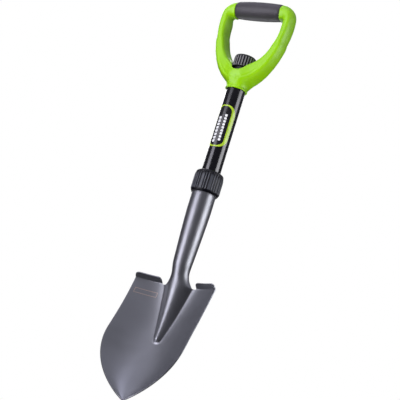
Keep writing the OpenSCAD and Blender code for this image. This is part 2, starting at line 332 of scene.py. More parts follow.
def moulded(name, dark, light, rough):
    """Moulded plastic or rubber: slight tone drift, uneven gloss and a fine moulded grain."""
    n = Nodes(name)
    drift = n.noise(60.0, 2.0)
    grain = n.noise(1400.0, 2.0, 0.6)
    return n.set(Base_Color=n.ramp(drift, [(0.3, dark), (0.7, light)]),
                 Roughness=n.span(n.noise(240.0, 2.0), *rough),
                 Normal=n.bump(grain, 0.6, 0.00004))


def ribbed_plastic_painted_shade_and_highlight(name, radius, groove, dark, light):
    """Moulded black plastic, with painted shade down in its grooves and a painted highlight on its ribs."""
    n = Nodes(name)
    place = n.add("ShaderNodeSeparateXYZ", {"Vector": n.coords})
    across = n.math("POWER", place.outputs["X"], 2.0)
    deep = n.math("POWER", n.math("SUBTRACT", place.outputs["Y"], SHAFT_Y * MM), 2.0)
    out = n.math("POWER", n.math("ADD", across, deep), 0.5)
    share = n.add("ShaderNodeMapRange", {"Value": out, "From Min": (radius - groove) * MM,
                                         "From Max": radius * MM}).outputs["Result"]
    # painted shade and highlight: darker towards the bottom of the grooves, paler towards the rib tops, by
    # distance from the shaft's axis
    tone = n.ramp(share, [(0.3, dark), (0.9, light)])
    drift = n.ramp(n.noise(90.0, 3.0), [(0.3, (0.8, 0.8, 0.8)), (0.7, (1.0, 1.0, 1.0))])
    return n.set(Base_Color=n.multiply(1.0, tone, drift), Roughness=n.span(n.noise(300.0, 2.0), 0.34, 0.46),
                 Normal=n.bump(n.noise(1500.0, 2.0, 0.6), 0.15, 0.00003))


def blade_steel():
    """Grey powder coat on stamped steel, rubbed a little lighter on its edges."""
    n = Nodes("blade_steel")
    drift = n.noise(9.0, 3.0)
    speckle = n.noise(2600.0, 2.0, 0.7)
    tone = n.ramp(drift, [(0.3, (0.30, 0.305, 0.325)), (0.7, (0.35, 0.355, 0.38))])
    fleck = n.ramp(speckle, [(0.35, (0.75, 0.75, 0.76)), (0.65, (1.0, 1.0, 1.0))])
    body = n.multiply(0.35, tone, fleck)
    geometry = n.add("ShaderNodeNewGeometry")
    worn = n.ramp(geometry.outputs["Pointiness"], [(0.53, (0, 0, 0)), (0.62, (0.45, 0.45, 0.45))])
    rubbed = n.math("MULTIPLY", worn, n.span(n.noise(160.0, 3.0), 0.2, 1.0))
    coat = n.mix(rubbed, body, (0.52, 0.52, 0.55))
    # a plain etched frame high on the left of the dish, with nothing written in it
    place = n.add("ShaderNodeSeparateXYZ", {"Vector": n.coords})
    across = n.math("ABSOLUTE", n.math("SUBTRACT", place.outputs["X"], ETCHED_X * MM))
    along = n.math("ABSOLUTE", n.math("SUBTRACT", place.outputs["Z"], ETCHED_Z * MM))
    outside = n.math("MAXIMUM", n.math("SUBTRACT", across, ETCHED_HALF_WIDTH * MM),
                     n.math("SUBTRACT", along, ETCHED_HALF_HEIGHT * MM))
    line = n.math("LESS_THAN", n.math("ABSOLUTE", outside), ETCHED_HALF_LINE * MM)
    facing = n.add("ShaderNodeSeparateXYZ", {"Vector": geometry.outputs["Normal"]})
    etched = n.math("MULTIPLY", line, n.math("LESS_THAN", facing.outputs["Y"], -0.2))
    depth = n.math("MULTIPLY", etched, n.span(n.noise(900.0), 0.55, 0.9))
    coat = n.mix(depth, coat, (0.85, 0.62, 0.5))
    texture = n.bump(n.noise(1500.0, 2.0, 0.6), 0.2, 0.00003,
                     n.bump(n.noise(260.0, 2.0), 0.06, 0.00006))
    return n.set(Base_Color=coat, Roughness=n.span(n.noise(40.0, 3.0), 0.36, 0.43),
                 Metallic=0.93, Coat_Weight=0.05, Coat_Roughness=0.3, Normal=texture)


def tube_paint():
    """Black gloss enamel with a slight orange peel."""
    n = Nodes("tube_paint")
    tone = n.ramp(n.noise(30.0, 2.0), [(0.3, (0.0022, 0.002, 0.0032)), (0.7, (0.0038, 0.0034, 0.0052))])
    dust = n.math("GREATER_THAN", n.noise(1900.0, 1.0), 0.76)
    colour = n.mix(dust, tone, (0.012, 0.012, 0.015))
    peel = n.bump(n.noise(260.0, 2.0), 0.05, 0.00003)
    return n.set(Base_Color=colour, Roughness=n.span(n.noise(90.0, 3.0), 0.16, 0.24),
                 Specular_IOR_Level=0.6, Coat_Weight=0.9, Coat_Roughness=0.16, Normal=peel)


def lime_plastic():
    """Bright lime moulding: satin, with a faint flow pattern and fine spark texture."""
    n = Nodes("lime_plastic")
    flow = n.noise(24.0, 3.0, 0.5, n.stretched(1.0, 1.0, 0.45))
    tone = n.ramp(flow, [(0.3, (0.29, 0.64, 0.0)), (0.7, (0.34, 0.72, 0.0))])
    spark = n.bump(n.noise(1700.0, 2.0, 0.6), 0.30, 0.00004)
    return n.set(Base_Color=tone, Roughness=n.span(n.noise(120.0, 3.0), 0.36, 0.46),
                 Specular_IOR_Level=0.55, Subsurface_Weight=0.05, Subsurface_Radius=(0.002, 0.003, 0.001),
                 Normal=spark)


def grip_rubber():
    """Soft dark rubber with a fine leather-like grain."""
    n = Nodes("grip_rubber")
    cells = n.add("ShaderNodeTexVoronoi", {"Vector": n.coords, "Scale": 900.0}, feature="DISTANCE_TO_EDGE")
    grain = n.bump(cells.outputs["Distance"], 0.35, 0.00008, n.bump(n.noise(2600.0, 2.0), 0.3, 0.00003))
    tone = n.ramp(n.noise(45.0, 3.0), [(0.3, (0.048, 0.043, 0.051)), (0.7, (0.060, 0.054, 0.064))])
    return n.set(Base_Color=tone, Roughness=n.span(n.noise(200.0, 3.0), 0.40, 0.52),
                 Specular_IOR_Level=0.45, Sheen_Weight=0.08, Sheen_Roughness=0.5, Normal=grain)


def bright_steel():
    """Turned, zinc-plated steel."""
    n = Nodes("screw_steel")
    rings = n.noise(1200.0, 2.0, 0.5, n.stretched(1.0, 0.1, 1.0))
    tone = n.ramp(n.noise(300.0, 3.0), [(0.3, (0.42, 0.42, 0.43)), (0.7, (0.56, 0.56, 0.58))])
    return n.set(Base_Color=tone, Metallic=1.0, Roughness=n.span(rings, 0.22, 0.4),
                 Normal=n.bump(rings, 0.2, 0.00003))


def label_film(name, dark, light):
    """Printed vinyl film with a laminate over it."""
    n = Nodes(name)
    tone = n.ramp(n.noise(80.0, 2.0), [(0.3, dark), (0.7, light)])
    print_grain = n.bump(n.noise(700.0, 2.0), 0.05, 0.00002)
    return n.set(Base_Color=tone, Roughness=n.span(n.noise(260.0, 2.0), 0.24, 0.34),
                 Coat_Weight=0.8, Coat_Roughness=0.16, Normal=print_grain)


STEEL = blade_steel()
PAINT = tube_paint()
LIME = lime_plastic()
RUBBER = grip_rubber()
SCREW = bright_steel()
# each ribbed plastic's dark colour is painted shade in the grooves, and its light colour a painted highlight
# on the ribs
COLLAR = ribbed_plastic_painted_shade_and_highlight("collar_plastic", NUT_R, NUT_GROOVE, (0.0008, 0.0008, 0.003), (0.118, 0.126, 0.152))
CAP = ribbed_plastic_painted_shade_and_highlight("cap_plastic", CAP_R, CAP_GROOVE, (0.0008, 0.0008, 0.002), (0.22, 0.21, 0.225))
INNER = moulded("inner_plastic", (0.018, 0.018, 0.019), (0.03, 0.03, 0.032), (0.4, 0.55))
COLLET = moulded("collet_plastic", (0.50, 0.50, 0.47), (0.58, 0.58, 0.55), (0.35, 0.5))
SEAL = moulded("seal_rubber", (0.24, 0.035, 0.02), (0.31, 0.05, 0.03), (0.5, 0.65))
WIPER = moulded("wiper_rubber", (0.012, 0.012, 0.013), (0.02, 0.02, 0.022), (0.55, 0.7))
FILM_LIME = label_film("label_lime", (0.42, 0.64, 0.02), (0.48, 0.70, 0.03))
FILM_BLACK = label_film("label_black", (0.006, 0.006, 0.008), (0.010, 0.010, 0.012))
FILM_WHITE = label_film("label_pale", (0.86, 0.87, 0.89), (0.92, 0.93, 0.94))


# ---------------------------------------------------------------- blade, neck and socket in one sheet
def half_width(z):
    if z < POINT_LENGTH:
        outline = (1 - (1 - z / POINT_LENGTH) ** POINT_CURVE) ** POINT_FULLNESS
        return max(TIP_HALF, BLADE_HALF * outline)
    above = (z - POINT_LENGTH) / (BLADE_LENGTH - POINT_LENGTH + 8)
    return BLADE_HALF - BLADE_WAIST * math.sin(math.pi * above)


def middle_y(z):
    w = 1 - z / BLADE_LENGTH
    return BLADE_TOP_Y - BLADE_LIFT * (LIFT_STRAIGHT * w + (1 - LIFT_STRAIGHT) * w * w)


def dish_depth(z):
    share = DISH_SHARE - DISH_LOSS_TOP * clamp01((z - 115) / 97) ** 1.2
    share -= DISH_LOSS_TIP * (1 - clamp01(z / 100))
    return half_width(z) * share


def ridge_share(z):
    return clamp01((z - RIDGE_LOW) / RIDGE_LENGTH)


def ridge_width(z):
    """Half width of the ridge; below it, the same share of the blade as at its nose."""
    if z < RIDGE_LOW + 0.1:
        return NOSE_HALF * half_width(z) / half_width(RIDGE_LOW)
    return NOSE_HALF + (RIDGE_HALF - NOSE_HALF) * ridge_share(z) ** 0.8


def front_y(x, z):
    """How far forward the sheet's front stands, from the shaft's axis."""
    t = abs(x) / ridge_width(z)
    hump = 0 if t >= 1 else (1 - t * t) ** (1.35 - 0.34 * ridge_share(z))
    nose = RIDGE_NOSE * ease((z - RIDGE_LOW) / 7) * (1 - ridge_share(z))
    ridge = (RIDGE_HEIGHT * ridge_share(z) ** 1.1 + nose) * hump
    skirt = SKIRT * ridge_share(z) ** 0.5 * math.exp(-max(0.0, abs(x) - ridge_width(z)) / 7)
    flat = 2.0 + TIP_FLATNESS * (1 - clamp01(z / 95))
    return middle_y(z) - dish_depth(z) * abs(x / half_width(z)) ** flat - ridge - skirt


def socket_radius(z):
    """The socket's barrel, tapering down into the neck."""
    return SOCKET_R - (SOCKET_R - NECK_R) * clamp01((SOCKET_TOP - 27 - z) / 115) ** 1.3


RIDGE_COLS = 24
OUTER_COLS = 36
STEP_FIRST = 5          # the foot step starts this many columns out from the ridge's foot
BLADE_ROWS = 130
FLARE = 38.0            # height over which the ridge closes into the round neck
FLARE_ROWS = 34
SOCKET_ROWS = 26
NECK_EASE = 16.0        # height over which the turn into the neck is evened out
SEAM_GAP = 0.035        # half of the open seam at the back, in radians


def column_x(i, z):
    """Across the sheet: RIDGE_COLS columns on the ridge, then OUTER_COLS out to the edge."""
    k, side = abs(i), (1 if i > 0 else -1)
    w, h = ridge_width(z), half_width(z)
    if k <= RIDGE_COLS:
        return side * w * k / RIDGE_COLS
    return side * (w + (h - w) * (k - RIDGE_COLS) / OUTER_COLS)


def blade_row_z(j):
    """Heights of the blade's rows, closer together at both ends."""
    u = j / BLADE_ROWS
    return BLADE_LENGTH * (u - 0.6 * math.sin(2 * math.pi * u) / (2 * math.pi))


def neck_point(i, z):
    """A point of the neck: the ridge's arch closing into a circle."""
    s = i / RIDGE_COLS
    x0 = RIDGE_HALF * s
    y0 = front_y(x0, BLADE_LENGTH)
    t = clamp01((z - BLADE_LENGTH) / FLARE)
    foot = abs(s) ** 3
    w = ease(t) * (1 - foot) + (1 - (1 - t) ** 1.6) * foot
    q = s * (math.pi - SEAM_GAP)
    r = socket_radius(z)
    return (x0 + (r * math.sin(q) - x0) * w, y0 + (-r * math.cos(q) - y0) * w, z)


def build_head():
    last = RIDGE_COLS + OUTER_COLS
    cols = list(range(-last, last + 1))
    points, index = [], {}

    def put(key, point):
        index[key] = len(points)
        points.append(point)

    for j in range(BLADE_ROWS + 1):
        z = blade_row_z(j)
        for i in cols:
            x = column_x(i, z)
            put((i, j), (x, front_y(x, z), z))
    faces = []

    def quad(a, b, c, d):
        faces.append((index[a], index[b], index[c], index[d]))

    for j in range(BLADE_ROWS):
        for i in cols[:-1]:
            quad((i, j), (i + 1, j), (i + 1, j + 1), (i, j + 1))
    # neck and socket
    top = BLADE_ROWS
    heights = [BLADE_LENGTH + FLARE * k / FLARE_ROWS for k in range(1, FLARE_ROWS + 1)]
    above = BLADE_LENGTH + FLARE
    heights += [above + (SOCKET_TOP - 0.2 - above) * k / SOCKET_ROWS for k in range(1, SOCKET_ROWS + 1)]
    ridge_cols = range(-RIDGE_COLS, RIDGE_COLS + 1)
    for k, z in enumerate(heights, 1):
        for i in ridge_cols:
            put((i, top + k), neck_point(i, z))
        for i in list(ridge_cols)[:-1]:
            quad((i, top + k - 1), (i + 1, top + k - 1), (i + 1, top + k), (i, top + k))
    # foot steps: the top edge turned forward and up
    arc_rows, flat_rows = 6, 7
    for side in (-1, 1):
        steps = [side * k for k in range(RIDGE_COLS + STEP_FIRST, last + 1)]
        inner_x, outer_x = abs(column_x(steps[0], BLADE_LENGTH)), abs(column_x(last, BLADE_LENGTH))
        for i in steps:
            x = column_x(i, BLADE_LENGTH)
            y = front_y(x, BLADE_LENGTH)
            reach = STEP_WIDTH - STEP_BEND * STEP_SLOPE
            for corner, far_in in ((STEP_OUTER, abs(x) - (outer_x - STEP_OUTER)),
                                   (STEP_INNER, inner_x + STEP_INNER - abs(x))):
                reach -= corner - math.sqrt(max(0.0, corner ** 2 - max(0.0, far_in) ** 2))
            for k in range(1, arc_rows + flat_rows + 1):
                q = STEP_SLOPE * min(k, arc_rows) / arc_rows
                along = reach * max(0, k - arc_rows) / flat_rows
                put((i, "step", k), (x, y - STEP_BEND * (1 - math.cos(q)) - along * math.sin(q),
                                     BLADE_LENGTH + STEP_BEND * math.sin(q) + along * math.cos(q)))
            index[(i, "step", 0)] = index[(i, top)]
        for i in range(min(steps), max(steps)):
            for k in range(arc_rows + flat_rows):
                quad((i, "step", k), (i + 1, "step", k), (i + 1, "step", k + 1), (i, "step", k + 1))
    piece = make_piece("blade_and_socket", points, faces)
    # ease the line where the ridge turns into the neck
    soft = piece.vertex_groups.new(name="soft")
    for (i, *rest), v in index.items():
        away = abs(points[v][2] - BLADE_LENGTH)
        if abs(i) <= RIDGE_COLS + 3 and away < NECK_EASE and "step" not in rest:
            soft.add([v], 1 - away / NECK_EASE, "REPLACE")
    relax(piece, 14, "soft")
    # the sheet's thickness goes on behind its front
    thick = piece.modifiers.new("sheet", "SOLIDIFY")
    thick.thickness = SHEET * MM
    thick.offset = -1
    thick.use_even_offset = True
    bevel(piece, 0.55, 2, 50)
    return finish_piece(piece, "head", STEEL, ["blade_head"], sharp=62)


build_head()


# ---------------------------------------------------------------- collar nut
def rib_pattern(u, bands, edge):
    """1 on the raised bands of one repeat, 0 in the grooves; bands are (from, to) shares."""
    best = 0.0
    for a, b in bands:
        for shift in (-1, 0, 1):
            inside = min(u - a - shift, b + shift - u)
            best = max(best, ease(0.5 + inside / edge))
    return best


def build_nut():
    bore = SOCKET_R + 0.9
    low, top = NUT_LOW, NUT_TOP
    outer = ([(bore, low), (NUT_R - 3.2, low), (NUT_R - 2.6, low + 0.5)]
             + spread((NUT_R - 2.4, low + 0.9), (NUT_R - 0.4, low + 4.6), 4)
             + spread((NUT_R, low + 5.4), (NUT_R, top - 10.5), 16)
             + [(NUT_R - 0.2, top - 8.5), (NUT_R - 0.7, top - 6.6)]
             + arc(NUT_R - 6.2, top - 5.2, 5.2, 12, 86, 9)
             + [(TUBE_R + 1.6, top), (TUBE_R + 0.9, top - 0.5), (TUBE_R + 0.6, top - 1.3)])
    inner = [(TUBE_R + 0.6, low + 33.3), (19.5, low + 33.3), (19.5, low + 30.4), (19.9, low + 30.4),
             (19.9, low + 25.9), (bore, low + 25.9)]
    # each repeat has one wide low land and two narrow ribs
    lands, ribs, land_height = [(0.0, 0.33)], [(0.44, 0.54), (0.73, 0.83)], 0.62

    def shape(r, z, q):
        if r <= bore + 0.5 or z < low + 2.2:
            return r
        u = (q / (2 * math.pi) * NUT_REPEATS) % 1.0
        raised = max(land_height * rib_pattern(u, lands, 0.06), rib_pattern(u, ribs, 0.09))
        fade = ease((z - low - 3.4) / 2.4) * ease((top - 1.6 - z) / 5.0)
        return r - NUT_GROOVE * fade * (1 - raised) * clamp01((r - bore) / 1.5)

    piece = revolve("collar_nut_ribbed", outer + inner, NUT_REPEATS * 52, shape)
    return finish_piece(piece, "nut", COLLAR, ["collar_nut"], sharp=50)


build_nut()


# ---------------------------------------------------------------- handle tube and label
def build_tube():
    r, bore = TUBE_R, TUBE_R - TUBE_WALL
    loop = polyline([(bore, TUBE_LOW), (r - 0.3, TUBE_LOW), (r, TUBE_LOW + 0.4), (r, TUBE_TOP - 0.4),
                     (r - 0.3, TUBE_TOP), (bore, TUBE_TOP)], [1, 1, 40, 1, 1, 20])
    return finish_piece(revolve("painted_tube", loop, 192), "handle", PAINT, ["handle_tube"])


def rounded_rectangle(half_w, half_h, radius, n):
    """An outline of 4 * (n + 1) points."""
    points = []
    for cx, cz, start in ((1, 1, 0), (-1, 1, 90), (-1, -1, 180), (1, -1, 270)):
        points += arc(cx * (half_w - radius), cz * (half_h - radius), radius, start, start + 90, n)
    return points


def film(name, half_w, half_h, radius, centre_q, centre_z, lift, thickness, material, replaces=()):
    """A thin rounded panel wrapped on the tube, lift above the paint; half_w is measured round it."""
    r = TUBE_R + lift
    outline = []
    corner_steps, side_steps = 10, 6
    corners = rounded_rectangle(half_w, half_h, radius, corner_steps)
    for k, a in enumerate(corners):
        starts_side = k % (corner_steps + 1) == corner_steps
        outline += spread(a, corners[(k + 1) % len(corners)], side_steps if starts_side else 1)
    rings, n = 14, len(outline)
    flat = [(x * m / rings, z * m / rings) for m in range(rings, 0, -1) for x, z in outline] + [(0.0, 0.0)]
    points = []
    for x, z in flat:
        q = centre_q + x / r
        points.append((r * math.sin(q), -r * math.cos(q), centre_z + z))
    faces = grid_faces(rings, n)
    last = (rings - 1) * n
    faces += [(last + k, last + (k + 1) % n, rings * n) for k in range(n)]
    piece = make_piece(name, points, faces)
    thick = piece.modifiers.new("film", "SOLIDIFY")
    thick.thickness = thickness * MM
    thick.offset = 1
    return finish_piece(piece, "handle", material, replaces)


LABEL_DROP = 0.9        # the finished label sits this much lower than its CAD solid
LABEL_TRIM = 1.0        # and is this much shorter at each end
# half width round the tube, corner radius, and how far it stays inside that length at each end
BORDER_HALF, BORDER_CORNER, BORDER_INSET = 20.8, 18.0, 0.2
PANEL_HALF, PANEL_CORNER, PANEL_INSET = 13.4, 11.5, 2.4
# rows of plain blocks where the printing is: place round the tube, half width, half length,
# number of blocks, and how far the row sits below the label's middle
LABEL_ROWS = ((-4.2, 2.6, 24.0, 8, 7), (5.6, 2.0, 24.5, 9, 3))


def build_label():
    middle = (label_lo.z + label_hi.z) / 2 - LABEL_DROP
    half = (label_hi.z - label_lo.z) / 2 - LABEL_TRIM
    film("label_border", BORDER_HALF, half - BORDER_INSET, BORDER_CORNER, 0.0, middle, 0.03, 0.08,
         FILM_LIME, ["tube_label"])
    film("label_panel", PANEL_HALF, half - PANEL_INSET, PANEL_CORNER, 0.0, middle, 0.12, 0.07,
         FILM_BLACK)
    for row, (across, wide, length, count, low) in enumerate(LABEL_ROWS):
        pitch = 2 * length / count
        for k in range(count):
            z = middle - low - length + pitch * (k + 0.5)
            film(f"label_block_{row}_{k}", wide, 0.38 * pitch, 0.6, across / TUBE_R, z, 0.2, 0.03, FILM_WHITE)


build_tube()
build_label()


# ---------------------------------------------------------------- D handle
def corner_knot(u):
    """Round the D's corner, u from 0 at the grip to 1 at the arm: place and half thickness."""
    q = math.radians(90 * (1 - u))
    reach, rise = clamp01(math.cos(q)) ** CORNER_POWER, clamp01(math.sin(q)) ** CORNER_POWER
    thick = GRIP_END_R - 0.1 + (ARM_THICK / 2 - GRIP_END_R) * math.sin(math.pi * u / 2)
    thick += CORNER_SWELL * math.sin(math.pi * u) ** 2
    return (GRIP_HALF + (ARM_HALF - GRIP_HALF) * reach, ARM_CENTRE + CORNER * rise, thick)


def arm_knot(t):
    """Down the arm, t from 0 at the corner to 1 at the bottom of the U."""
    q = math.radians(90 * t)
    return (ARM_HALF * math.cos(q), ARM_CENTRE - ARM_DROP * math.sin(q), ARM_THICK / 2 + ARM_GROWTH * t * t)


RING_KNOTS = [corner_knot(k / 14) for k in range(15)] + [arm_knot(k / 26) for k in range(1, 27)]
# along the underside of the web from the ferrule out into the arm, and through the web's middle
WEB_EDGE = ((9, 16.8, 7.6), (16.4, 20.0, 7.3), (23.8, 24.8, 7.3), (31.2, 31.4, 7.4), (38.6, 40.2, 7.3),
            (45.8, 52.5, 7.0), (51.6, 67.5, 6.8), (55.8, 85.0, 6.4))
WEB_MIDDLE = ((12, 24.0, 9.0), (24, 32.5, 8.4), (36, 45.0, 7.4), (46, 60.0, 6.2))
WEB_KNOTS = [[(x, FERRULE_LOW + z, r) for x, z, r in row] for row in (WEB_EDGE, WEB_MIDDLE)]
# heights above the ferrule's mouth and the radii there
FERRULE_PROFILE = ((0.0, 18.5), (0.7, 19.0), (1.6, 19.1), (2.6, 18.8), (3.8, 18.25), (5.5, 18.1),
                   (9.0, 18.15), (14.0, 18.6), (19.0, 19.4), (24.0, 20.3), (29.0, 21.0), (34.0, 21.2))
WEB_FILLET = 9.0        # between an arm and its web, and between the web and the ferrule
WEB_THICK = 8.6
WEB_DEPTH = 4.6         # how much deeper front to back the webs are than the arms
GRIP_DEPTH = 0.6        # and the corners at the grip
OUTER_SQUARENESS = 0.45         # 0 is a round section; the arms are squarer on the window's side
WINDOW_SQUARENESS = 1.7
OUTER_LEAN = 0.13       # the arms' outer faces lean back by this slope
WINDOW_LEAN = 0.14      # and their inner faces lean the same way by this one
CORNER_FILL = 1.5       # extra material in the window's top corners
CORE_R = 10.4           # the bar through the soft grip
LIP_DROP, LIP_CURVE = 4.4, 0.021        # top edge of the ferrule: its lowest place, and its rise
BORE_GAP, CAP_GAP = 0.25, 1.2
DEE_STEP = 0.85         # spacing of the samples that the moulding's surface is found from
SCREW_HOLE_R, SCREW_HEAD_R = 2.2, 4.4
SCREW_SEAT_Y = 18.6     # the screw's head sits this far behind the shaft's axis


def soft_min(a, b, k):
    """The smaller of two distances, with a fillet about k wide where they meet."""
    h = np.clip(0.5 + 0.5 * (b - a) / k, 0, 1)
    return b + (a - b) * h - k * h * (1 - h)


def soft_max(a, b, k):
    return -soft_min(-a, -b, k)


def string_of_knots(x, z, knots):
    """Distance in the D's plane to a tapering string of round knots, with the nearest radius and side."""
    best = np.full(np.broadcast(x, z).shape, 1e9)
    size, side = np.ones(best.shape), np.ones(best.shape)
    for (x0, z0, r0), (x1, z1, r1) in zip(knots, knots[1:]):
        dx, dz = x1 - x0, z1 - z0
        t = np.clip(((x - x0) * dx + (z - z0) * dz) / (dx * dx + dz * dz), 0, 1)
        r = r0 + (r1 - r0) * t
        d = np.hypot(x - x0 - dx * t, z - z0 - dz * t) - r
        nearer = d < best
        best, size = np.where(nearer, d, best), np.where(nearer, r, size)
        side = np.where(nearer, np.sign(dx * (z - z0) - dz * (x - x0)), side)
    return best, size, side


def np_ease(t):
    t = np.clip(t, 0, 1)
    return t * t * (3 - 2 * t)


def dee_field(x, y, z):
    """Signed distance to the lime moulding, negative inside."""
    ax = np.abs(x)
    # the outline from the front: a tapering ring, and the webs in the corners at its foot
    ring, size, side = string_of_knots(ax, z, RING_KNOTS)
    web = np.minimum(*(string_of_knots(ax, z, knots)[0] for knots in WEB_KNOTS))
    plan = soft_min(ring, web, WEB_FILLET)
    near_web = np_ease((ring - web + 12) / 24)
    size = size * (1 - near_web) + WEB_THICK * near_web
    # half the depth front to back, more towards the shaft and a little more at the grip
    low = np_ease((ARM_CENTRE - 30 - z) / 70)
    depth = ARM_DEPTH / 2 + WEB_DEPTH * low * np_ease((58 - ax) / 56)
    depth = depth + GRIP_DEPTH * np_ease((z - ARM_CENTRE) / 16)
    # the arms are flat towards the window and round outside
    squareness = np.where(side > 0, OUTER_SQUARENESS, WINDOW_SQUARENESS - 1.1 * near_web)
    power = 2.0 + squareness * np_ease((GRIP_Z - 2 - z) / 26)
    share = np.maximum(0, 1 + plan / size)
    # the arms' sides lean back, and the window's top corners are filled
    corner_fill = CORNER_FILL * np.exp(-((z - ARM_CENTRE + 6) / 15) ** 2)
    window_lean = WINDOW_LEAN * y * np_ease((GRIP_Z - 8 - z) / 24) * np_ease((ax - 18) / 22)
    lean = np.where(side > 0, -OUTER_LEAN * y, -corner_fill - window_lean)
    share = np.maximum(0, 1 + (plan + lean * np.minimum(share, 1)) / size) + 1e-9
    body = ((share ** power + (np.abs(y) / depth) ** power) ** (1 / power) - 1) * size
    # nothing where the soft grip is but the bar through it
    grip_room = np.maximum(ax - GRIP_HALF - 0.05, GRIP_Z - 22 - z)
    body = soft_max(body, -grip_room, 0.8)
    bar = np.maximum(np.hypot(y, z - GRIP_Z) - CORE_R, ax - GRIP_HALF - 4)
    body = np.minimum(body, bar)
    # the ferrule, its top edge lowest in front and behind
    r = np.hypot(x, y)
    heights, radii = zip(*FERRULE_PROFILE)
    ferrule = r - np.interp(z - FERRULE_LOW, heights, radii)
    lip = CUP_TOP - LIP_DROP + LIP_CURVE * x * x
    ferrule = soft_max(ferrule, z - lip, 1.6)
    body = soft_min(body, ferrule, WEB_FILLET)
    body = soft_max(body, FERRULE_LOW - z, 0.6)
    # the bore for the tube, and room round the cap
    bore = TUBE_R + BORE_GAP - r
    room = -soft_max(r - CAP_R - CAP_GAP, lip - z, 2.0)
    return soft_max(soft_max(body, bore, 0.5), room, 1.8)


def surface_net(field, origin, step):
    """Points and quads of a sampled field's zero surface, one point in each cell that it crosses."""
    inside = field < 0
    cells = tuple(n - 1 for n in field.shape)
    corners = [(i, j, k) for i in (0, 1) for j in (0, 1) for k in (0, 1)]

    def at(array, c):
        return array[c[0]:c[0] + cells[0], c[1]:c[1] + cells[1], c[2]:c[2] + cells[2]]

    filled = sum(at(inside, c).astype(np.int8) for c in corners)
    active = (filled > 0) & (filled < 8)
    ids = np.full(cells, -1, np.int64)
    ids[active] = np.arange(active.sum())
    total, count = np.zeros((active.sum(), 3)), np.zeros(active.sum())
    for axis in range(3):
        for c in corners:
            if c[axis]:
                continue
            far = tuple(v + (n == axis) for n, v in enumerate(c))
            a, b = at(field, c)[active], at(field, far)[active]
            cross = (a < 0) != (b < 0)
            t = np.where(cross, a / np.where(cross, a - b, 1), 0)
            place = np.tile(np.array(c, float), (len(a), 1))
            place[:, axis] += t
            total += place * cross[:, None]
            count += cross
    points = np.array(origin) + step * (np.argwhere(active) + total / count[:, None])
    faces = []
    for axis in range(3):
        u, v = (axis + 1) % 3, (axis + 2) % 3
        head = [slice(None)] * 3
        tail = [slice(None)] * 3
        head[axis], tail[axis] = slice(None, -1), slice(1, None)
        a, b = inside[tuple(head)], inside[tuple(tail)]
        edges = np.argwhere(a != b)
        edges = edges[(edges[:, u] > 0) & (edges[:, v] > 0)]
        down = a[tuple(edges.T)]
        ring = []
        for du, dv in ((1, 1), (0, 1), (0, 0), (1, 0)):
            cell = edges.copy()
            cell[:, u] -= du
            cell[:, v] -= dv
            ring.append(ids[tuple(cell.T)])
        quads = np.stack(ring, 1)
        quads[~down] = quads[~down][:, ::-1]
        faces.append(quads)
    return points, np.concatenate(faces)


def settle(points, field, limit):
    """Moves points onto the field's zero surface."""
    h = 0.02
    for _ in range(3):
        value = field(*points.T)
        slope = np.stack([(field(*(points + h * unit).T) - field(*(points - h * unit).T)) / (2 * h)
                          for unit in np.eye(3)], 1)
        step = (value / np.maximum((slope ** 2).sum(1), 0.05))[:, None] * slope
        length = np.linalg.norm(step, axis=1, keepdims=True)
        points = points - step * np.minimum(1, limit / np.maximum(length, 1e-9))
    return points


def closed_sweep(name, rings):
    """A solid through rings of points, capped at both ends."""
    n = len(rings[0])
    points = [p for ring in rings for p in ring]
    faces = grid_faces(len(rings), n)
    faces += [tuple(range(n)), tuple(range((len(rings) - 1) * n, len(rings) * n))]
    piece = make_piece(name, points, faces)
    outward(piece)
    return piece


def cut(piece, cutter):
    """Cuts one mesh out of another, and removes it."""
    mod = piece.modifiers.new("cut", "BOOLEAN")
    mod.operation = "DIFFERENCE"
    mod.object = cutter
    mod.solver = "EXACT"
    apply_modifiers(piece)
    bpy.data.objects.remove(cutter)


def build_dee():
    low = (-(ARM_HALF + 16), -26.0, FERRULE_LOW - 3)
    high = (ARM_HALF + 16, 26.0, GRIP_Z + 18)
    x, y, z = (np.arange(a, b, DEE_STEP) for a, b in zip(low, high))
    field = dee_field(x[:, None, None], y[None, :, None], z[None, None, :])
    points, faces = surface_net(field, low, DEE_STEP)
    points = settle(points, dee_field, 0.4)
    piece = make_piece("dee_moulding", points.tolist(), faces.tolist())
    outward(piece)
    relax(piece, 5)
    apply_modifiers(piece)
    stations = ((SCREW_HOLE_R, 12), (SCREW_HOLE_R, SCREW_SEAT_Y), (SCREW_HEAD_R, SCREW_SEAT_Y),
                (SCREW_HEAD_R, 30))
    hole = [[(r * math.sin(2 * math.pi * k / 48), y, SCREW_Z + r * math.cos(2 * math.pi * k / 48))
             for k in range(48)] for r, y in stations]
    cut(piece, closed_sweep("screw_hole", hole))
    return finish_piece(piece, "handle", LIME, ["d_handle"], sharp=60)


build_dee()


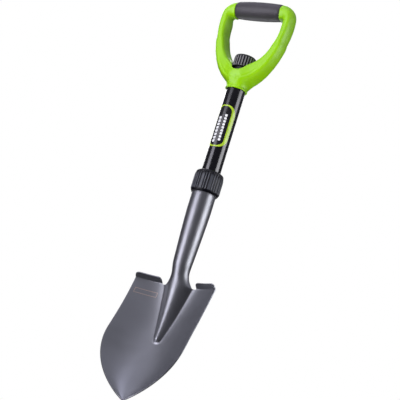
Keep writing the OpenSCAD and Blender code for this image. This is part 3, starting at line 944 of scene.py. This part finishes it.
# ---------------------------------------------------------------- soft grip
def build_grip():
    """A barrel on the bar, with rounded ends and a shallow parting line near each of them."""
    segments, steps = 144, 88
    end, bore, edge, parting = GRIP_HALF - 0.05, 10.7, 1.6, 0.28
    profile = [(-end, bore), (-end, GRIP_END_R - 2.2)]
    profile += [(-end + edge * (1 - math.cos(q)), GRIP_END_R - 2.2 + edge * math.sin(q))
                for q in (math.radians(15 * k) for k in range(1, 6))]
    for k in range(steps + 1):
        x = (end - edge) * (2 * k / steps - 1)
        t = x / (GRIP_HALF - 1)
        r = GRIP_MID_R - (GRIP_MID_R - GRIP_END_R) * t * t - 0.55 * ease((abs(t) - 0.93) / 0.07)
        seam = math.exp(-((abs(x) - GRIP_HALF * 0.8) / 0.7) ** 2)
        profile.append((x, r - parting * seam))
    profile += [(-x, r) for x, r in reversed(profile[1:7])]
    profile += [(end, bore)]
    points = []
    for k in range(segments):
        q = 2 * math.pi * k / segments
        points += [(x, r * math.cos(q), GRIP_Z + r * math.sin(q)) for x, r in profile]
    faces = grid_faces(segments, len(profile), wrap_rows=True)
    piece = make_piece("soft_grip", points, faces)
    outward(piece)
    return finish_piece(piece, "handle", RUBBER, ["grip_sleeve"], sharp=45)


build_grip()


# ---------------------------------------------------------------- storage neck and cap
def build_neck():
    """The neck inside the ferrule, with a real two-turn thread for the cap."""
    r0, hole = 14.0, 12.4
    deck = CUP_TOP + 2
    lower, flange = neck_lo.z, TUBE_TOP + 0.05
    loop = polyline([(hole, lower), (TUBE_R - TUBE_WALL - 0.05, lower), (TUBE_R - TUBE_WALL - 0.05, flange),
                     (TUBE_R + 0.15, flange), (TUBE_R + 0.15, deck - 0.3), (TUBE_R - 0.2, deck), (r0, deck),
                     (r0, NECK_TOP - 0.8), (r0 - 0.6, NECK_TOP), (hole, NECK_TOP)],
                    [1, 4, 1, 4, 1, 1, 44, 1, 1, 12])
    pitch, thread = 3.0, 0.95

    def shape(r, z, q):
        if abs(r - r0) > 0.01 or z <= deck:
            return r
        phase = ((z - deck) / pitch + q / (2 * math.pi)) % 1.0
        ridge = ease(1 - abs(phase - 0.5) / 0.26)
        fade = ease((z - deck - 0.8) / 1.6) * ease((NECK_TOP - 1.2 - z) / 1.6)
        return r + thread * ridge * fade

    piece = revolve("storage_neck_threaded", loop, 144, shape)
    return finish_piece(piece, "handle", INNER, ["storage_neck"], sharp=50)


def build_cap():
    low, top = CAP_LOW, CAP_TOP
    cavity, deep = 15.4, 10.5
    flat = top - 1.2
    outer = ([(cavity, low), (CAP_R - 1.3, low), (CAP_R - 0.9, low + 0.4)]
             + spread((CAP_R, low + 1.0), (CAP_R, flat - 5.2), 14)
             + [(CAP_R - 0.1, flat - 4.2), (CAP_R - 0.4, flat - 3.4)]
             + arc(CAP_R - 4.0, flat - 3.2, 3.4, 8, 84, 8)
             + [(CAP_R - 5.4, flat + 0.35), (11.0, flat + 0.72), (8.0, flat + 0.95)]
             + [(4.0, top - 0.06), (0.02, top)])
    roof, wall = (4.0, low + deep), (cavity, low + deep)
    inner = [(0.02, low + deep)] + spread(roof, wall, 4)[1:] + spread(wall, (cavity, low), 5)

    def shape(r, z, q):
        if r < CAP_R - 3.6 or z > flat or z < low + 0.2:
            return r
        wave = 0.5 + 0.5 * math.cos(CAP_RIBS * q)
        raised = ease(clamp01((wave - 0.30) / 0.5))
        fade = ease((z - low) / 1.4) * ease((flat - 0.9 - z) / 2.6)
        return r - CAP_GROOVE * fade * (1 - raised)

    piece = revolve("storage_cap_ribbed", outer + inner, CAP_RIBS * 20, shape)
    return finish_piece(piece, "cap", CAP, ["storage_cap"], sharp=50)


build_neck()
build_cap()

# ---------------------------------------------------------------- CAD nodes that stay
KEPT_NODES = {"guide_bush": INNER, "threaded_sleeve": INNER, "clamp_collet": COLLET, "wiper_ring": WIPER,
              "end_plug": INNER, "handle_screw": SCREW, "cap_seal": SEAL}
for node, material in KEPT_NODES.items():
    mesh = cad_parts[node].data
    mesh.materials.clear()
    mesh.materials.append(material)


# ---------------------------------------------------------------- floor, light and camera
# degrees and metres, but the floor in millimetres
CAMERA_AZIMUTH = 31.92
CAMERA_ELEVATION = -15.45
CAMERA_ROLL = 17.2
CAMERA_DISTANCE = 2.9615
FOCAL_SHARE = 4.4989          # focal length over the picture's width
CAMERA_TARGET_Z = 0.350
AIM_UP, AIM_RIGHT = 0.003617, -0.000156         # slopes away from that target
SENSOR = 36.0
LIGHT_TARGET_Z = 0.36
FLOOR_Z = -800                # below the tip and below the camera


def build_floor():
    """A pale disc well below the tip, because the camera looks up at the shovel from low down."""
    points = [(0, 0, FLOOR_Z)]
    n, rings = 96, (800, 1600, 3200, 6400, 12000)
    for r in rings:
        turns = [2 * math.pi * k / n for k in range(n)]
        points += [(r * math.cos(q), r * math.sin(q), FLOOR_Z) for q in turns]
    faces = [(0, 1 + k, 1 + (k + 1) % n) for k in range(n)]
    faces += [tuple(1 + v for v in face) for face in
              [(b, a, d, c) for a, b, c, d in grid_faces(len(rings), n)]]
    floor = make_piece("floor", points, faces)
    paper = Nodes("floor_paper")
    tone = paper.ramp(paper.noise(1.5, 2.0), [(0.3, (0.80, 0.80, 0.80)), (0.7, (0.84, 0.84, 0.84))])
    floor.data.materials.append(paper.set(Base_Color=tone, Roughness=0.9))
    floor.visible_diffuse = False
    floor.visible_glossy = False
    floor.visible_shadow = False


def softbox(name, turn, elevation, distance, size, watts, colour=(1, 1, 1), matte=True, shine=True):
    """An area light aimed at the middle of the shovel, turned from the camera's side."""
    light = bpy.data.lights.new(name, "AREA")
    light.shape = "RECTANGLE"
    light.size, light.size_y = size
    light.energy = watts
    light.color = colour
    a, e = math.radians(CAMERA_AZIMUTH + turn), math.radians(elevation)
    away = Vector((math.sin(a) * math.cos(e), -math.cos(a) * math.cos(e), math.sin(e)))
    lamp = bpy.data.objects.new(name, light)
    lamp.location = Vector((0, SHAFT_Y * MM, LIGHT_TARGET_Z)) + away * distance
    lamp.rotation_euler = (-away).to_track_quat("-Z", "Y").to_euler()
    lamp.visible_camera = False
    lamp.visible_diffuse = matte
    lamp.visible_glossy = shine
    bpy.context.scene.collection.objects.link(lamp)


def build_world():
    """White behind the shovel; as light, a dim room that is brighter overhead."""
    world = bpy.data.worlds.new("studio")
    world.use_nodes = True
    tree = world.node_tree
    room = tree.nodes["Background"]
    coords = tree.nodes.new("ShaderNodeTexCoord")
    split = tree.nodes.new("ShaderNodeSeparateXYZ")
    tree.links.new(coords.outputs["Generated"], split.inputs[0])
    height = tree.nodes.new("ShaderNodeMapRange")
    tree.links.new(split.outputs["Z"], height.inputs["Value"])
    height.inputs["From Min"].default_value = -1
    height.inputs["From Max"].default_value = 1
    shade = tree.nodes.new("ShaderNodeValToRGB")
    tree.links.new(height.outputs["Result"], shade.inputs["Fac"])
    dim, bright = shade.color_ramp.elements
    dim.position = 0.62
    dim.color = (0.025, 0.024, 0.030, 1)
    bright.position = 0.86
    bright.color = (0.36, 0.36, 0.42, 1)
    tree.links.new(shade.outputs["Color"], room.inputs["Color"])
    white = tree.nodes.new("ShaderNodeBackground")
    white.inputs["Color"].default_value = (1, 1, 1, 1)
    path = tree.nodes.new("ShaderNodeLightPath")
    mix = tree.nodes.new("ShaderNodeMixShader")
    tree.links.new(path.outputs["Is Camera Ray"], mix.inputs["Fac"])
    tree.links.new(room.outputs[0], mix.inputs[1])
    tree.links.new(white.outputs[0], mix.inputs[2])
    tree.links.new(mix.outputs[0], tree.nodes["World Output"].inputs["Surface"])
    bpy.context.scene.world = world


def build_camera():
    a, e, roll = (math.radians(v) for v in (CAMERA_AZIMUTH, CAMERA_ELEVATION, CAMERA_ROLL))
    back = Vector((math.sin(a) * math.cos(e), -math.cos(a) * math.cos(e), math.sin(e)))
    target = Vector((0, SHAFT_Y * MM, CAMERA_TARGET_Z))
    forward = -back
    right = forward.cross(Vector((0, 0, 1))).normalized()
    up = right.cross(forward)
    right, up = (math.cos(roll) * right + math.sin(roll) * up, -math.sin(roll) * right + math.cos(roll) * up)
    # the middle of the shovel sits a little below the picture's middle
    aim = (forward + up * AIM_UP + right * AIM_RIGHT).normalized()
    right = aim.cross(up).normalized()
    up = right.cross(aim)
    data = bpy.data.cameras.new("camera")
    data.sensor_width = SENSOR
    data.lens = SENSOR * FOCAL_SHARE
    data.dof.use_dof = False
    camera = bpy.data.objects.new("camera", data)
    place = target + back * CAMERA_DISTANCE
    camera.matrix_world = Matrix(((right.x, up.x, -aim.x, place.x), (right.y, up.y, -aim.y, place.y),
                                  (right.z, up.z, -aim.z, place.z), (0, 0, 0, 1)))
    bpy.context.scene.collection.objects.link(camera)
    bpy.context.scene.camera = camera


build_floor()
build_world()
# name, turn, elevation, distance, (width, height), watts, colour
softbox("soft_left", -58, -4, 5.2, (3.4, 4.6), 190, (0.90, 0.89, 1.0))
softbox("soft_right", 68, 8, 5.2, (3.8, 2.7), 135, (0.95, 0.95, 1.0), matte=False)
softbox("high_left", -70, 66, 5.0, (3.4, 2.8), 34, (0.80, 0.80, 1.0))
softbox("fill_front", -34, 26, 5.0, (4.0, 4.0), 130, (1.0, 1.0, 0.98), shine=False)
softbox("fill_right", 46, -46, 5.0, (3.0, 3.0), 190, shine=False)
softbox("soft_back", 190, 32, 4.8, (3.0, 2.4), 80)
softbox("low_back", 178, -40, 4.6, (4.0, 3.0), 80, (0.93, 0.93, 1.0), matte=False)
build_camera()
bpy.context.scene.view_settings.view_transform = "Standard"
